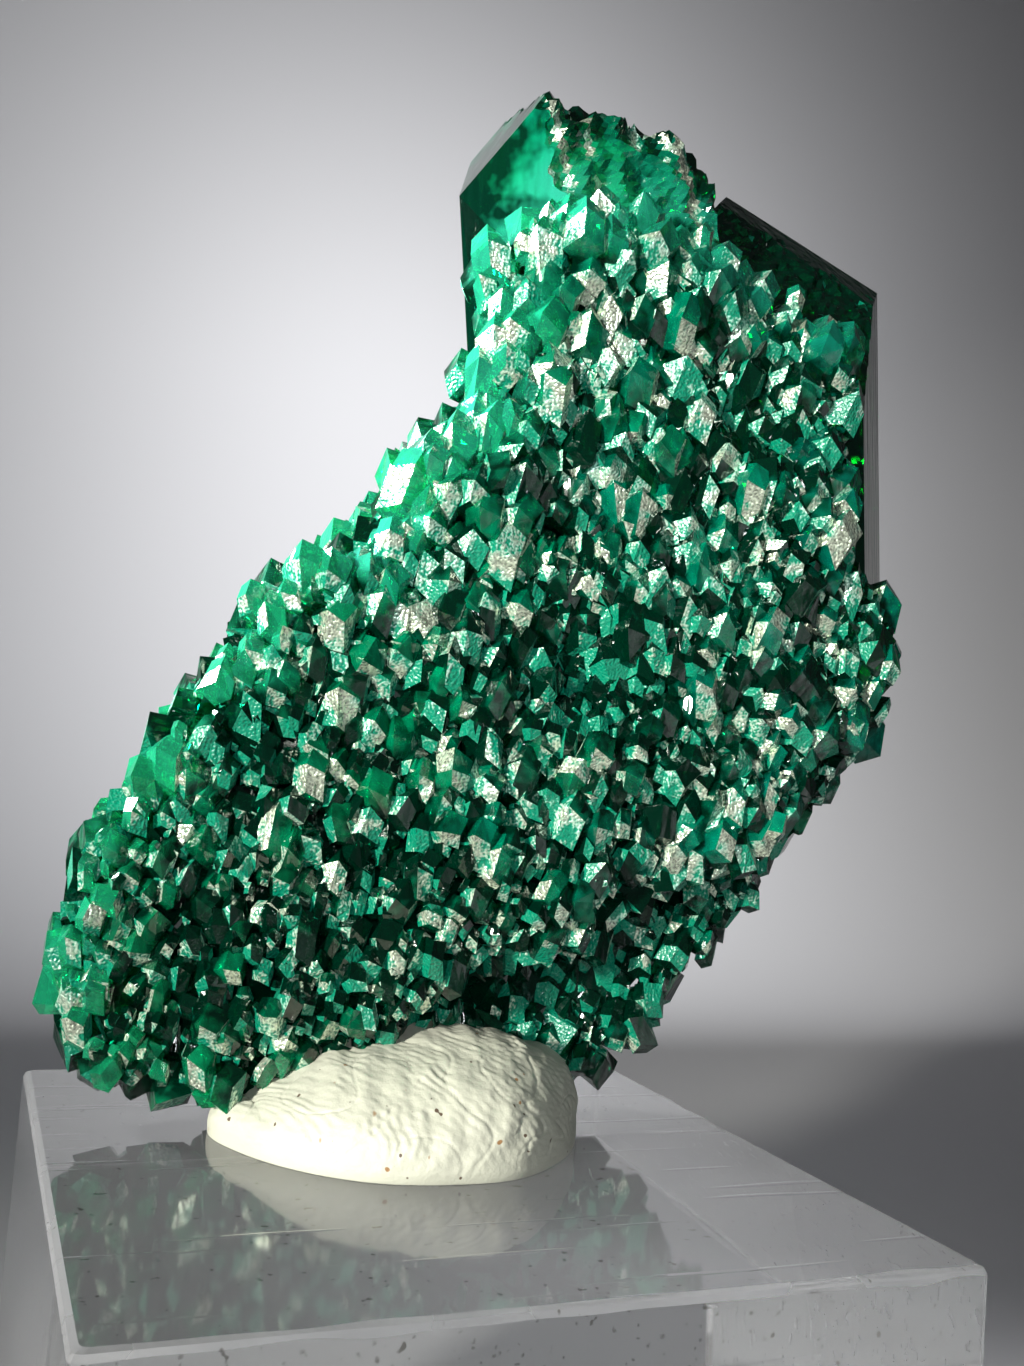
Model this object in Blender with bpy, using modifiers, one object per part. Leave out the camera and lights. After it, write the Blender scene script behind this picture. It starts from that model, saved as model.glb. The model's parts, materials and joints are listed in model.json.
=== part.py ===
"""Dioptase specimen: two big parallel crystals under a crust of small ones, held
upright by a lump of mineral tack on a clear block.

Metres, +Z up. The origin is the centre of the block's underside. The specimen is
modelled in its own plate frame (x along the plate, y away from the viewer, z up
from the block's top) and then turned a little towards the viewer.
"""

import math

import bmesh
import bpy
import numpy as np
from mathutils import Matrix, Vector

MM = 0.001

# Block: a square of clear plastic with narrow chamfers
BLOCK_SIDE = 31.75 * MM
BLOCK_HEIGHT = 19.05 * MM
BLOCK_CHAMFER = 0.35 * MM

# Pieces that touch keep this gap
FIT_GAP = 0.3 * MM

# Plate frame: its place over the block's centre, and its turn towards the viewer
PLATE_OFFSET = 2.1 * MM
PLATE_TURN = math.radians(-7.0)

# Dioptase: a six-sided prism closed at each end by three rhombohedron faces
PRISM_SIDES = 6
TIP_FACES = 3
TIP_SLOPE = math.radians(51.0)

# The crust's outline in the plate frame, in mm, clockwise from the waist on the left
CRUST_OUTLINE = [
    (0.3, 36.2), (-1.0, 34.8), (-0.2, 33.2), (-3.4, 30.8), (-3.8, 28.6), (-5.4, 26.2),
    (-7.9, 25.4), (-9.9, 23.2), (-10.6, 20.8), (-12.6, 18.2), (-12.9, 16.2), (-15.0, 13.8),
    (-16.5, 8.6), (-15.8, 4.0), (-14.4, 2.0), (-9.0, 1.0), (-3.0, 1.6), (0.4, 5.4),
    (4.2, 7.6), (7.9, 9.2), (10.8, 11.0), (13.8, 12.2), (18.2, 14.8), (20.3, 18.8),
    (23.6, 23.0), (22.2, 26.0), (20.2, 28.4), (19.8, 39.0), (18.4, 40.5), (10.7, 43.7),
    (6.2, 44.2), (3.0, 43.8), (0.4, 41.6), (-0.4, 39.5),
]
# The deeper body behind the crust, which also shows below it on the right
BODY_OUTLINE = [
    (0.5, 36.0), (-2.8, 30.4), (-7.0, 25.0), (-11.4, 18.4), (-14.2, 13.0), (-15.4, 8.0),
    (-14.6, 4.0), (-9.0, 1.5), (0.0, 1.3), (7.6, 1.2), (10.4, 2.0), (11.9, 4.0),
    (14.4, 7.0), (16.6, 9.6), (19.2, 12.6), (21.4, 16.0), (23.0, 19.6), (24.6, 23.4),
    (24.2, 30.0), (22.0, 38.0), (12.0, 41.0), (3.0, 41.0),
]
CRUST_DEPTH = 1.2 * MM
CRUST_THICKNESS = 4.3 * MM
BODY_FRONT = 4.4 * MM
BODY_BACK = 7.6 * MM
FOOT_BACK = 5.0 * MM
FOOT_HEIGHT = 9.0 * MM
PLATE_INSET = 1.9
RIM_INSET = 0.9
ROLL_WIDTH = 3.0
ROLL_DEPTH = 1.5
RECESS_DEPTH = 3.6
EXPOSED_ABOVE = 27.0

# The two big crystals: axis point at the tip, radius, length, lean to the left, spin
BIG_CRYSTALS = {
    "left": {
        "tip": (5.6, 7.1, 56.0), "radius": 7.5, "length": 34.0, "lean": 6.0, "spin": 10.0,
        "slope": 52.0,
    },
    "right": {
        "tip": (15.4, 8.6, 49.6), "radius": 9.0, "length": 34.0, "lean": 5.0, "spin": -6.0,
        "slope": 48.0,
    },
}
# Where the left crystal's tip is broken away: a point on each break and its outward normal
TIP_BREAKS = [
    ((6.0, 1.5, 48.7), (0.10, -0.34, 1.0)),
    ((9.6, 3.0, 49.4), (0.70, -0.22, 0.68)),
]
# Both big crystals end at this plane behind
BACK_BREAK = ((10.0, 14.6, 30.0), (0.05, 1.0, -0.08))

# Small crystals: spacing and radius in mm by place, lengths in radii, spin in degrees
SEED = 7
AXIS_SPREAD = 0.16
UPRIGHT = (0.06, 0.0, 1.0)
# How far the axes lean out of the surface, and how far the tips stand out in radii
CRUST_GROWTH = (0.52, 0.35)
RIM_GROWTH = (0.55, 0.30)
BACK_GROWTH = (0.68, 0.45)
CRYSTAL_SPIN = (5.0, 9.0)
CRYSTAL_LENGTH = 3.0
STUB_LENGTH = 2.0
LOWEST_POINT = 1.3
CRUST_PITCH = 2.7
CRUST_RADIUS = (1.5, 2.0)
LARGE_RADIUS = (1.8, 2.4)
LARGE_ABOVE = 36.0
LARGE_LEFT_OF = 8.0
RIM_PITCH = 2.9
RIM_ROWS = ((CRUST_OUTLINE, 1.9, 0.0, -0.35), (BODY_OUTLINE, 5.2, 0.5, 0.1))
RIM_RADIUS = (1.5, 2.0)
# No small crystals on the big ones: right of, above and behind these; right of; and behind the back
RIM_TOP = (-1.0, 33.0, 2.0)
RIM_BARE_RIGHT_OF = 15.0
RIM_BEHIND = 0.6
BACK_PITCH = 4.4
BACK_INSET = 1.2
# Bare patches of the back, as left, right and low end; then the foot's size share and its heights
BACK_BARE = ((0.5, 99.0, 26.0), (9.0, 23.0, 20.0))
BACK_SMALL_LOW = (0.7, 3.0, 9.0)
BACK_RADIUS = (2.4, 3.1)

# Tack: a hand-rolled lump, pressed flat on the block and pinched to a point at the left
TACK_CENTRE = (-0.3 * MM, 3.6 * MM)
TACK_HALF_WIDTH = 8.7 * MM
TACK_HALF_DEPTH = 8.2 * MM
TACK_HEIGHT = 4.7 * MM
TACK_WAIST = 1.2 * MM
TACK_FLARE = 0.85
TACK_CROWN = 0.25
TACK_SKEW = 1.4 * MM
TACK_SEGMENTS = 24
TACK_RINGS = 12

COLOURS = {
    "acrylic_block": (0.86, 0.88, 0.90),
    "mineral_tack": (0.80, 0.79, 0.68),
    "dioptase_cluster": (0.02, 0.34, 0.17),
}


def clear_scene():
    for old in list(bpy.data.objects):
        bpy.data.objects.remove(old, do_unlink=True)


def new_collection(name, hidden):
    made = bpy.data.collections.new(name)
    made.hide_render = hidden
    bpy.context.scene.collection.children.link(made)
    return made


def add_object(name, mesh, collection, helper=False):
    made = bpy.data.objects.new(name, mesh)
    collection.objects.link(made)
    if helper:
        made.hide_render = True
        made.display_type = "WIRE"
    return made


def give_material(part, roughness, metallic=0.0):
    material = bpy.data.materials.new(part.name)
    material.use_nodes = True
    shader = material.node_tree.nodes["Principled BSDF"]
    colour = COLOURS[part.name]
    shader.inputs["Base Color"].default_value = (*colour, 1.0)
    shader.inputs["Roughness"].default_value = roughness
    shader.inputs["Metallic"].default_value = metallic
    part.data.materials.append(material)
    part.color = (*colour, 1.0)


# Outlines in the plate frame, in mm


def edge_normals(outline):
    """Outward normals of the edges of a clockwise or anticlockwise outline."""
    points = np.array(outline)
    along = np.roll(points, -1, axis=0) - points
    following = np.roll(points, -1, axis=0)
    area = np.sum(points[:, 0] * following[:, 1] - following[:, 0] * points[:, 1])
    normals = np.stack([along[:, 1], -along[:, 0]], axis=1) * math.copysign(1.0, area)
    return normals / np.linalg.norm(normals, axis=1, keepdims=True)


def inset(outline, distance):
    """The outline moved inwards, each corner along the mean of its two edges."""
    normals = edge_normals(outline)
    corners = normals + np.roll(normals, 1, axis=0)
    corners /= np.linalg.norm(corners, axis=1, keepdims=True)
    return np.array(outline) - corners * distance


def depth_inside(points, outline):
    """Distance from the outline, positive inside it."""
    points = np.atleast_2d(points)
    start = np.array(outline)
    along = np.roll(start, -1, axis=0) - start
    offset = points[:, None, :] - start[None, :, :]
    share = np.sum(offset * along, axis=2) / np.sum(along * along, axis=1)
    nearest = offset - np.clip(share, 0.0, 1.0)[..., None] * along
    distance = np.linalg.norm(nearest, axis=2).min(axis=1)
    above = start[:, 1] > points[:, None, 1]
    crossing = above != np.roll(above, -1, axis=1)
    run = along[:, 0] / np.where(along[:, 1] == 0.0, 1e-9, along[:, 1])
    reach = start[:, 0] + (points[:, None, 1] - start[:, 1]) * run
    inside = np.sum(crossing & (points[:, None, 0] < reach), axis=1) % 2 == 1
    return np.where(inside, distance, -distance)


def smooth_step(value, low, high):
    share = np.clip((value - low) / (high - low), 0.0, 1.0)
    return share * share * (3.0 - 2.0 * share)


def front_depth(points):
    """How far behind the plate's front plane the crust lies, in mm."""
    points = np.atleast_2d(points)
    x = points[:, 0]
    z = points[:, 1]
    inside = depth_inside(points, CRUST_OUTLINE)
    waves = 0.45 * np.sin(0.62 * x + 0.35 * z) * np.cos(0.48 * z - 0.3 * x)
    waves += 0.35 * np.sin(0.31 * x - 0.27 * z + 1.2)
    hollow = 1.5 * np.exp(-((x - 5.5) ** 2 + (z - 22.0) ** 2) / 7.0)
    roll = ROLL_DEPTH * (1.0 - np.clip(inside / ROLL_WIDTH, 0.0, 1.0)) ** 2
    recess = RECESS_DEPTH * smooth_step(-inside, 0.0, 1.6)
    return waves + hollow + roll + recess


def front_normal(points):
    step = 0.2
    dx = (front_depth(points + [step, 0.0]) - front_depth(points - [step, 0.0])) / (2 * step)
    dz = (front_depth(points + [0.0, step]) - front_depth(points - [0.0, step])) / (2 * step)
    normals = np.stack([dx, -np.ones(len(points)), dz], axis=1)
    return normals / np.linalg.norm(normals, axis=1, keepdims=True)


def back_depth(z):
    """The plate is thinner at its foot, where the tack holds it."""
    return (FOOT_BACK + (BODY_BACK - FOOT_BACK) * smooth_step(z * MM, 0.4 * FOOT_HEIGHT, FOOT_HEIGHT)) / MM


def lattice(outline, pitch, rng):
    """Points of a shaken triangular lattice that lie inside an outline."""
    low = np.min(outline, axis=0) - pitch
    high = np.max(outline, axis=0) + pitch
    row_pitch = pitch * math.sqrt(0.75)
    rows = np.arange(low[1], high[1], row_pitch)
    columns = np.arange(low[0], high[0], pitch)
    x, z = np.meshgrid(columns, rows)
    x = x + 0.5 * pitch * (np.arange(len(rows))[:, None] % 2)
    points = np.stack([x.ravel(), z.ravel()], axis=1)
    points += rng.uniform(-0.24, 0.24, points.shape) * pitch
    return points[depth_inside(points, outline) > 0.0]


def along_outline(outline, pitch, start):
    """Evenly spaced points on an outline, with the outward normal at each."""
    points = np.array(outline)
    ends = np.roll(points, -1, axis=0)
    lengths = np.linalg.norm(ends - points, axis=1)
    reached = np.concatenate([[0.0], np.cumsum(lengths)])
    stations = np.arange(start * pitch, reached[-1], pitch)
    edge = np.searchsorted(reached, stations, side="right") - 1
    share = ((stations - reached[edge]) / lengths[edge])[:, None]
    return points[edge] * (1.0 - share) + ends[edge] * share, edge_normals(outline)[edge]


# Crystals


def crystal_mesh(name, slope, length):
    """A crystal of radius 1 with its tip at the origin, running down -Z to a second tip."""
    bm = bmesh.new()
    bmesh.ops.create_cone(
        bm, cap_ends=True, segments=PRISM_SIDES, radius1=1.0, radius2=1.0, depth=length + 4.0,
        matrix=Matrix.Translation((0.0, 0.0, -0.5 * length)) @ Matrix.Rotation(math.pi / 2, 4, "Z"),
    )
    for face in range(TIP_FACES):
        azimuth = math.pi + face * 2.0 * math.pi / TIP_FACES
        outward = Vector((
            math.sin(slope) * math.cos(azimuth), math.sin(slope) * math.sin(azimuth), math.cos(slope),
        ))
        for point, normal in ((Vector((0.0, 0.0, 0.0)), outward), (Vector((0.0, 0.0, -length)), -outward)):
            cut = bmesh.ops.bisect_plane(
                bm, geom=bm.verts[:] + bm.edges[:] + bm.faces[:], plane_co=point, plane_no=normal,
                clear_outer=True, dist=1e-6,
            )
            rim = [item for item in cut["geom_cut"] if isinstance(item, bmesh.types.BMEdge)]
            bmesh.ops.contextual_create(bm, geom=rim)
    bmesh.ops.recalc_face_normals(bm, faces=bm.faces)
    mesh = bpy.data.meshes.new(name)
    bm.to_mesh(mesh)
    bm.free()
    return mesh


def crystal_matrix(tip, axis, spin, radius):
    """Places a unit crystal: its axis along axis, its x side kept near the plate's x."""
    z = Vector(axis).normalized()
    x = (Vector((1.0, 0.0, 0.0)) - z * z.x).normalized()
    y = z.cross(x)
    turn = Matrix((x, y, z)).transposed().to_4x4() @ Matrix.Rotation(math.radians(spin), 4, "Z")
    place = Matrix.Translation(Vector(tip) * MM)
    return place @ turn @ Matrix.Scale(radius * MM, 4)


def grow(sites, normals, radii, rng, growth, length):
    """Rows of (tip, axis, spin, radius): axes between upright and the surface normal."""
    count = len(sites)
    outward, lift = growth
    upright = np.array(UPRIGHT)
    axes = upright * (1.0 - outward) + normals * outward + rng.normal(0.0, AXIS_SPREAD, (count, 3))
    axes /= np.linalg.norm(axes, axis=1, keepdims=True)
    tips = sites + axes * (lift * rng.uniform(0.6, 1.4, count) * radii)[:, None]
    lowest = tips[:, 2] - radii * (length * axes[:, 2] + 0.8 * np.sqrt(1.0 - axes[:, 2] ** 2))
    tips[:, 2] += np.clip(LOWEST_POINT - lowest, 0.0, None)
    return list(zip(tips, axes, rng.normal(*CRYSTAL_SPIN, count), radii))


def crust_crystals(rng):
    covered = lattice(inset(CRUST_OUTLINE, RIM_INSET), CRUST_PITCH, rng)
    below = lattice(inset(BODY_OUTLINE, RIM_INSET), CRUST_PITCH, rng)
    below = below[(depth_inside(below, CRUST_OUTLINE) < -0.4) & (below[:, 1] < EXPOSED_ABOVE)]
    points = np.concatenate([covered, below])
    sites = np.stack([points[:, 0], front_depth(points), points[:, 1]], axis=1)
    radii = rng.uniform(*CRUST_RADIUS, len(points))
    large = rng.uniform(*LARGE_RADIUS, len(points))
    radii = np.where((points[:, 1] > LARGE_ABOVE) & (points[:, 0] < LARGE_LEFT_OF), large, radii)
    return grow(sites, front_normal(points), radii, rng, CRUST_GROWTH, CRYSTAL_LENGTH)


def rim_crystals(rng):
    found = []
    top_left, top_low, top_depth = RIM_TOP
    for outline, depth, start, tilt in RIM_ROWS:
        points, outward = along_outline(inset(outline, RIM_INSET), RIM_PITCH, start)
        exposed = (points[:, 1] > top_low) & (points[:, 0] > top_left) & (depth > top_depth)
        exposed |= (points[:, 1] > EXPOSED_ABOVE) & (points[:, 0] > RIM_BARE_RIGHT_OF)
        exposed |= depth > back_depth(points[:, 1]) + RIM_BEHIND
        points = points[~exposed]
        outward = outward[~exposed]
        sites = np.stack([points[:, 0], np.full(len(points), depth), points[:, 1]], axis=1)
        normals = np.stack([outward[:, 0], np.full(len(points), tilt), outward[:, 1]], axis=1)
        normals /= np.linalg.norm(normals, axis=1, keepdims=True)
        radii = rng.uniform(*RIM_RADIUS, len(points))
        found += grow(sites, normals, radii, rng, RIM_GROWTH, STUB_LENGTH)
    return found


def back_crystals(rng):
    points = lattice(inset(BODY_OUTLINE, BACK_INSET), BACK_PITCH, rng)
    bare = np.zeros(len(points), dtype=bool)
    for left, right, low in BACK_BARE:
        bare |= (points[:, 1] > low) & (points[:, 0] > left) & (points[:, 0] < right)
    points = points[~bare]
    sites = np.stack([points[:, 0], back_depth(points[:, 1]), points[:, 1]], axis=1)
    normals = np.tile([0.0, 1.0, 0.0], (len(points), 1))
    smallest, low, high = BACK_SMALL_LOW
    share = smallest + (1.0 - smallest) * smooth_step(points[:, 1], low, high)
    radii = rng.uniform(*BACK_RADIUS, len(points)) * share
    return grow(sites, normals, radii, rng, BACK_GROWTH, STUB_LENGTH)


def big_crystal(name, shape, helpers):
    mesh = crystal_mesh(name, math.radians(shape["slope"]), shape["length"] / shape["radius"])
    lean = math.radians(shape["lean"])
    made = add_object(name, mesh, helpers, helper=True)
    made.matrix_world = crystal_matrix(
        shape["tip"], (-math.sin(lean), -0.02, math.cos(lean)), shape["spin"], shape["radius"],
    )
    return made


def break_off(crystal, breaks):
    """Cuts a crystal's mesh by planes given in the plate frame."""
    bm = bmesh.new()
    bm.from_mesh(crystal.data)
    bm.transform(crystal.matrix_world)
    for point, normal in breaks:
        cut = bmesh.ops.bisect_plane(
            bm, geom=bm.verts[:] + bm.edges[:] + bm.faces[:], plane_co=Vector(point) * MM,
            plane_no=Vector(normal), clear_outer=True, dist=1e-9,
        )
        rim = [item for item in cut["geom_cut"] if isinstance(item, bmesh.types.BMEdge)]
        if rim:
            bmesh.ops.contextual_create(bm, geom=rim)
    bmesh.ops.recalc_face_normals(bm, faces=bm.faces)
    bm.to_mesh(crystal.data)
    bm.free()
    crystal.matrix_world = Matrix.Identity(4)


def slab(name, outline, front, thickness, collection, helper):
    """A flat outline in the plate frame, extruded away from the viewer."""
    curve = bpy.data.curves.new(name, "CURVE")
    curve.dimensions = "2D"
    curve.fill_mode = "BOTH"
    curve.extrude = 0.5 * thickness
    spline = curve.splines.new("POLY")
    spline.points.add(len(outline) - 1)
    for point, (x, z) in zip(spline.points, outline):
        point.co = (x * MM, z * MM, 0.0, 1.0)
    spline.use_cyclic_u = True
    guide = add_object(name + "_outline", curve, collection, helper=True)
    guide.matrix_world = (
        Matrix.Translation((0.0, front + 0.5 * thickness, 0.0)) @ Matrix.Rotation(math.pi / 2, 4, "X")
    )
    bpy.context.view_layer.update()
    graph = bpy.context.evaluated_depsgraph_get()
    mesh = bpy.data.meshes.new_from_object(guide.evaluated_get(graph))
    mesh.transform(guide.matrix_world)
    bpy.data.objects.remove(guide, do_unlink=True)
    bm = bmesh.new()
    bm.from_mesh(mesh)
    bmesh.ops.remove_doubles(bm, verts=bm.verts, dist=1e-6)
    bmesh.ops.recalc_face_normals(bm, faces=bm.faces)
    bm.to_mesh(mesh)
    bm.free()
    return add_object(name, mesh, collection, helper)


def join(part, collection, solver):
    union = part.modifiers.new("union", "BOOLEAN")
    union.operation = "UNION"
    union.operand_type = "COLLECTION"
    union.collection = collection
    union.solver = solver


def baked(part):
    """The part's mesh with its modifiers applied, in world space."""
    bpy.context.view_layer.update()
    graph = bpy.context.evaluated_depsgraph_get()
    mesh = bpy.data.meshes.new_from_object(part.evaluated_get(graph))
    mesh.transform(part.matrix_world)
    return mesh


def keep_outer_shell(mesh):
    """Keeps a mesh's widest shell: sealed hollows are filled and cut-off crumbs go."""
    bm = bmesh.new()
    bm.from_mesh(mesh)
    unseen = set(bm.verts)
    shells = []
    while unseen:
        shell = {unseen.pop()}
        edge_of_shell = list(shell)
        while edge_of_shell:
            vertex = edge_of_shell.pop()
            for edge in vertex.link_edges:
                other = edge.other_vert(vertex)
                if other in unseen:
                    unseen.remove(other)
                    shell.add(other)
                    edge_of_shell.append(other)
        shells.append(shell)
    shells.sort(key=len)
    for shell in shells[:-1]:
        bmesh.ops.delete(bm, geom=list(shell), context="VERTS")
    bm.to_mesh(mesh)
    bm.free()


def make_cluster(parts):
    helpers = new_collection("crystals", hidden=True)
    rng = np.random.default_rng(SEED)
    crust = inset(CRUST_OUTLINE, PLATE_INSET)
    cluster = slab("dioptase_cluster", crust, CRUST_DEPTH, CRUST_THICKNESS, parts, False)
    slab("body", inset(BODY_OUTLINE, PLATE_INSET), BODY_FRONT, FOOT_BACK - BODY_FRONT, helpers, True)
    upper = [(x, max(z, FOOT_HEIGHT / MM)) for x, z in inset(BODY_OUTLINE, PLATE_INSET)]
    slab("upper_body", upper, BODY_FRONT, BODY_BACK - BODY_FRONT, helpers, True)
    for name, shape in BIG_CRYSTALS.items():
        crystal = big_crystal(name + "_crystal", shape, helpers)
        breaks = TIP_BREAKS if name == "left" else []
        break_off(crystal, [*breaks, BACK_BREAK])
    long_unit = crystal_mesh("small_crystal", TIP_SLOPE, CRYSTAL_LENGTH)
    stub_unit = crystal_mesh("stub_crystal", TIP_SLOPE, STUB_LENGTH)
    grown = [(long_unit, crust_crystals(rng)), (stub_unit, rim_crystals(rng) + back_crystals(rng))]
    for unit, crystals in grown:
        for tip, axis, spin, radius in crystals:
            small = add_object(unit.name, unit, helpers, helper=True)
            small.matrix_world = crystal_matrix(tip, axis, spin, radius)
    join(cluster, helpers, "EXACT")
    mesh = baked(cluster)
    cluster.modifiers.clear()
    keep_outer_shell(mesh)
    mesh.transform(
        Matrix.Translation((0.0, PLATE_OFFSET, BLOCK_HEIGHT)) @ Matrix.Rotation(PLATE_TURN, 4, "Z")
    )
    cluster.data = mesh
    cluster.data.name = cluster.name
    give_material(cluster, roughness=0.25)
    return cluster


def make_tack(parts, cluster):
    """A dome over a teardrop footprint, with a pocket for the specimen's foot."""
    cutters = new_collection("cutters", hidden=True)
    bpy.ops.mesh.primitive_uv_sphere_add(segments=TACK_SEGMENTS, ring_count=TACK_RINGS, radius=1.0)
    tack = bpy.context.object
    tack.name = tack.data.name = "mineral_tack"
    for user in list(tack.users_collection):
        user.objects.unlink(tack)
    parts.objects.link(tack)
    for vertex in tack.data.vertices:
        x, y, z = vertex.co
        pinch = smooth_step(-x, 0.1, 1.0)
        swell = max(math.hypot(x, y), 1e-6) ** -(TACK_FLARE if z < 0.0 else TACK_CROWN)
        wide = x * swell * TACK_HALF_WIDTH
        deep = y * swell * TACK_HALF_DEPTH * (1.0 - 0.4 * pinch) + TACK_SKEW * pinch
        rise = TACK_WAIST * (1.0 + z) if z < 0.0 else TACK_WAIST + (TACK_HEIGHT - TACK_WAIST) * z
        high = rise * (1.0 - 0.55 * pinch)
        vertex.co = (TACK_CENTRE[0] + wide, TACK_CENTRE[1] + deep, BLOCK_HEIGHT + FIT_GAP + high)
    pocket = foot_pocket(cluster, cutters)
    cut = tack.modifiers.new("pocket", "BOOLEAN")
    cut.operation = "DIFFERENCE"
    cut.object = pocket
    cut.solver = "EXACT"
    mesh = baked(tack)
    tack.modifiers.clear()
    keep_outer_shell(mesh)
    tack.data = mesh
    tack.data.name = tack.name
    tack.data.shade_smooth()
    tack.data.set_sharp_from_angle(angle=math.radians(35.0))
    give_material(tack, roughness=0.7)
    return tack


def foot_pocket(cluster, cutters):
    """The hull of the specimen's foot, grown by the fit gap and open at the top."""
    top = BLOCK_HEIGHT + TACK_HEIGHT + 2.0 * MM
    bm = bmesh.new()
    foot = [v.co for v in cluster.data.vertices if v.co.z < top]
    grown = []
    reach = 1.3 * FIT_GAP
    for point in foot:
        for side in ((1, 0, 0), (-1, 0, 0), (0, 1, 0), (0, -1, 0), (0, 0, 1), (0, 0, -1)):
            grown.append(bm.verts.new(point + Vector(side) * reach))
        grown.append(bm.verts.new((point.x, point.y, top)))
    hull = bmesh.ops.convex_hull(bm, input=grown, use_existing_faces=False)
    unused = hull["geom_interior"] + hull["geom_unused"]
    inner = [item for item in unused if isinstance(item, bmesh.types.BMVert)]
    bmesh.ops.delete(bm, geom=list(set(inner)), context="VERTS")
    bmesh.ops.recalc_face_normals(bm, faces=bm.faces)
    mesh = bpy.data.meshes.new("foot_pocket")
    bm.to_mesh(mesh)
    bm.free()
    return add_object("foot_pocket", mesh, cutters, helper=True)


def make_block(parts):
    bpy.ops.mesh.primitive_cube_add(size=1.0)
    block = bpy.context.object
    block.name = block.data.name = "acrylic_block"
    for user in list(block.users_collection):
        user.objects.unlink(block)
    parts.objects.link(block)
    block.data.transform(Matrix.Diagonal((BLOCK_SIDE, BLOCK_SIDE, BLOCK_HEIGHT, 1.0)))
    block.location.z = 0.5 * BLOCK_HEIGHT
    edge = block.modifiers.new("chamfer", "BEVEL")
    edge.width = BLOCK_CHAMFER
    edge.segments = 1
    give_material(block, roughness=0.05)
    return block


def main():
    clear_scene()
    parts = new_collection("dioptase", hidden=False)
    make_block(parts)
    cluster = make_cluster(parts)
    make_tack(parts, cluster)


main()
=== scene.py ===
import json
import math

import bmesh
import bpy
import numpy as np
from mathutils import Matrix, Vector

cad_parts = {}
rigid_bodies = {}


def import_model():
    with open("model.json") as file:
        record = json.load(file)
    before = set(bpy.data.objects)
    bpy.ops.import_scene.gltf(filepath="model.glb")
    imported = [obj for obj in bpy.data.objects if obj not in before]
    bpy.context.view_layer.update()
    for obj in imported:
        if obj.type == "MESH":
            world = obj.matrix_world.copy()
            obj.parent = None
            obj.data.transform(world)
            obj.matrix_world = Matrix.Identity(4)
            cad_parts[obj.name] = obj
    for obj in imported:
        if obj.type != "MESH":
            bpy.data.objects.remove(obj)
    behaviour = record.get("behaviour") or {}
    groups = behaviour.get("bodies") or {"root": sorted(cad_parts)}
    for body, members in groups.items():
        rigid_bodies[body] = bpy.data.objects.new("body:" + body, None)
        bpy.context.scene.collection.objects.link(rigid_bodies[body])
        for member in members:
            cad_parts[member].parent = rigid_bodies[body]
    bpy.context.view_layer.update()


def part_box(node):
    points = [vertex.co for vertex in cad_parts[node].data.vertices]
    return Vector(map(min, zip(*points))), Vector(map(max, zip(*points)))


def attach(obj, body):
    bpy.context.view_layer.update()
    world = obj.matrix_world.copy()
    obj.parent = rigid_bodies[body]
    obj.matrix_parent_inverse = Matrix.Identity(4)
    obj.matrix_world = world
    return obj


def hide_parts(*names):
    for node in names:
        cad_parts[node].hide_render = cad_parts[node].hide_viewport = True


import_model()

mm = 0.001
blockLow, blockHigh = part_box("acrylic_block")
blockTop = blockHigh.z

bpy.context.scene.view_settings.view_transform = "Standard"


# Small helpers

def hideAway(name):
    made = bpy.data.collections.new(name)
    made.hide_render = True
    bpy.context.scene.collection.children.link(made)
    return made


def addMesh(name, points, faces, collection=None):
    # points is an array of rows x, y, z in metres, faces a list or array of corner numbers
    mesh = bpy.data.meshes.new(name)
    mesh.from_pydata(np.asarray(points).tolist(), [], faces if isinstance(faces, list) else faces.tolist())
    mesh.update()
    made = bpy.data.objects.new(name, mesh)
    (collection or bpy.context.scene.collection).objects.link(made)
    return made


def smoothStep(value, low, high):
    share = np.clip((value - low) / (high - low), 0.0, 1.0)
    return share * share * (3.0 - 2.0 * share)


def wobble(x, y, size, seed, waves=9):
    # a sum of sine waves in random directions, each about size long, scaled to about -1 to 1
    rng = np.random.default_rng(seed)
    total = np.zeros(np.broadcast(x, y).shape)
    angles = rng.uniform(0.0, math.pi, waves)
    phases = rng.uniform(0.0, 2 * math.pi, waves)
    stretches = rng.uniform(0.7, 1.5, waves)
    for angle, phase, stretch in zip(angles, phases, stretches):
        along = (x * math.cos(angle) + y * math.sin(angle)) * 2 * math.pi * stretch / size
        total = total + np.sin(along + phase)
    return total / math.sqrt(waves) / 1.2


# Node helpers: every material below is made of these

def newMaterial(name):
    made = bpy.data.materials.new(name)
    made.use_nodes = True
    nodes = made.node_tree.nodes
    return made, nodes, made.node_tree.links, nodes["Principled BSDF"]


def makePlain(name, colour, roughness):
    made, nodes, links, shader = newMaterial(name)
    shader.inputs["Base Color"].default_value = (*colour, 1.0)
    shader.inputs["Roughness"].default_value = roughness
    return made


def objectSpace(nodes, links, scale=(1.0, 1.0, 1.0), turn=(0.0, 0.0, 0.0)):
    place = nodes.new("ShaderNodeTexCoord")
    mapped = nodes.new("ShaderNodeMapping")
    mapped.inputs["Scale"].default_value = scale
    mapped.inputs["Rotation"].default_value = turn
    links.new(place.outputs["Object"], mapped.inputs["Vector"])
    return mapped.outputs["Vector"]


def noiseOf(nodes, links, vector, scale, detail, roughness=0.5):
    made = nodes.new("ShaderNodeTexNoise")
    made.inputs["Scale"].default_value = scale
    made.inputs["Detail"].default_value = detail
    made.inputs["Roughness"].default_value = roughness
    links.new(vector, made.inputs["Vector"])
    return made.outputs["Fac"]


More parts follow.
